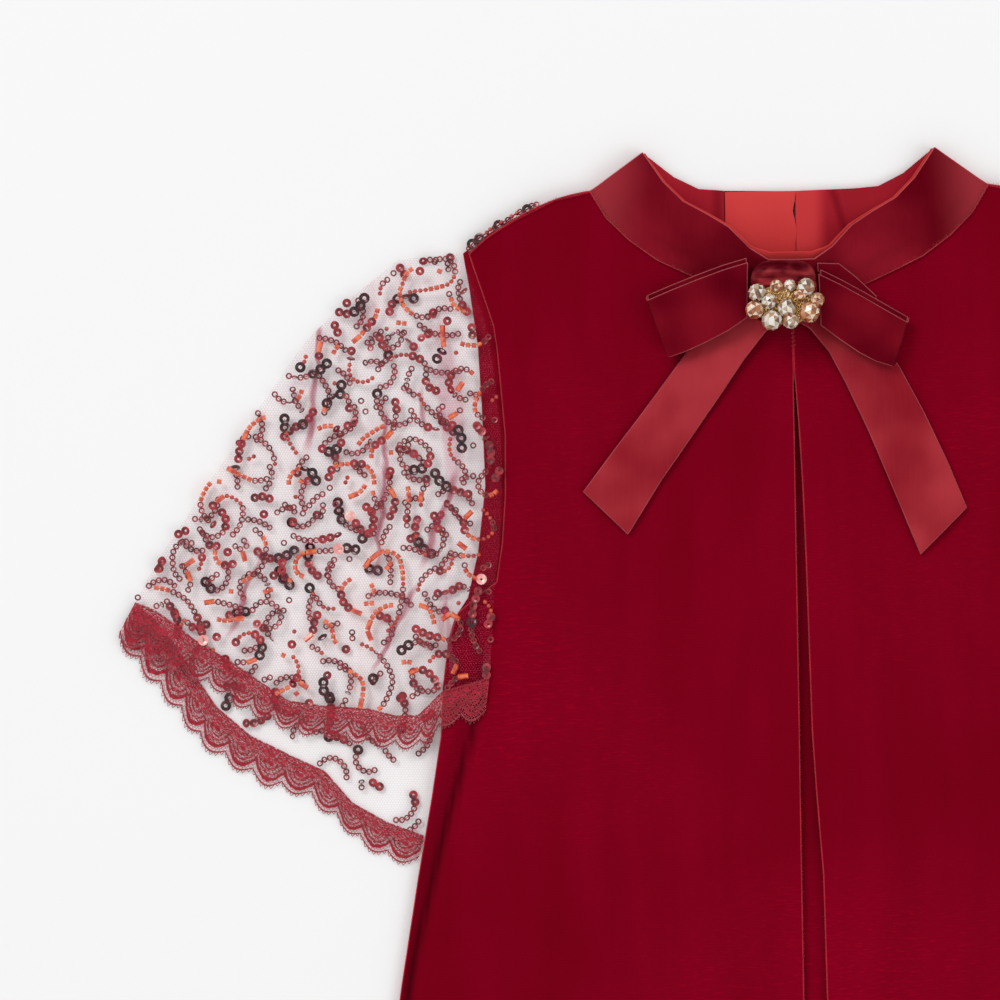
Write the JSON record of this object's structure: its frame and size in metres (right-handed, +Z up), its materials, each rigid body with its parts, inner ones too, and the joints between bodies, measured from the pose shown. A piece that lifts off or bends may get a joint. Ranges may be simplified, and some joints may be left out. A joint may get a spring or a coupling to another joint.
{
  "type": "toddler party dress",
  "caption": "Toddler's crimson velvet party dress with embroidered net sleeves, scalloped lace cuffs, stand collar and crystal ribbon bow, lying flat.",
  "frame": {"origin": "middle of the dress in plan, at the level of the surface it lies on", "axes": "+Z up out of the front of the dress, +Y towards the collar, +X towards the wearer's left sleeve, which is on the right of the picture"},
  "size_m": [0.5436, 0.5568, 0.03],
  "materials": {
    "velvet": "pile",
    "collar_satin": "satin",
    "ribbon_satin": "satin",
    "lining": "satin",
    "net": "matt",
    "lace": "matt",
    "crystal": "polished"
  },
  "bodies": {
    "root": {"front_left": "velvet", "front_right": "velvet", "pleat_insert": "velvet", "back_left": "velvet", "back_right": "velvet", "back_lining_left": "lining", "back_lining_right": "lining", "back_placket": "lining", "collar_front_facing": "lining", "collar_front": "collar_satin", "collar_back_left": "collar_satin", "collar_back_right": "collar_satin", "collar_back_facing_left": "lining", "collar_back_facing_right": "lining", "sleeve_left": "net", "sleeve_right": "net", "lace_left": "lace", "lace_right": "lace", "bow_loop_left": "ribbon_satin", "bow_loop_right": "ribbon_satin", "bow_loop_back": "ribbon_satin", "bow_tail_left": "ribbon_satin", "bow_tail_right": "ribbon_satin", "bow_knot": "ribbon_satin", "crystal_cluster": "crystal"}
  },
  "joints": []
}
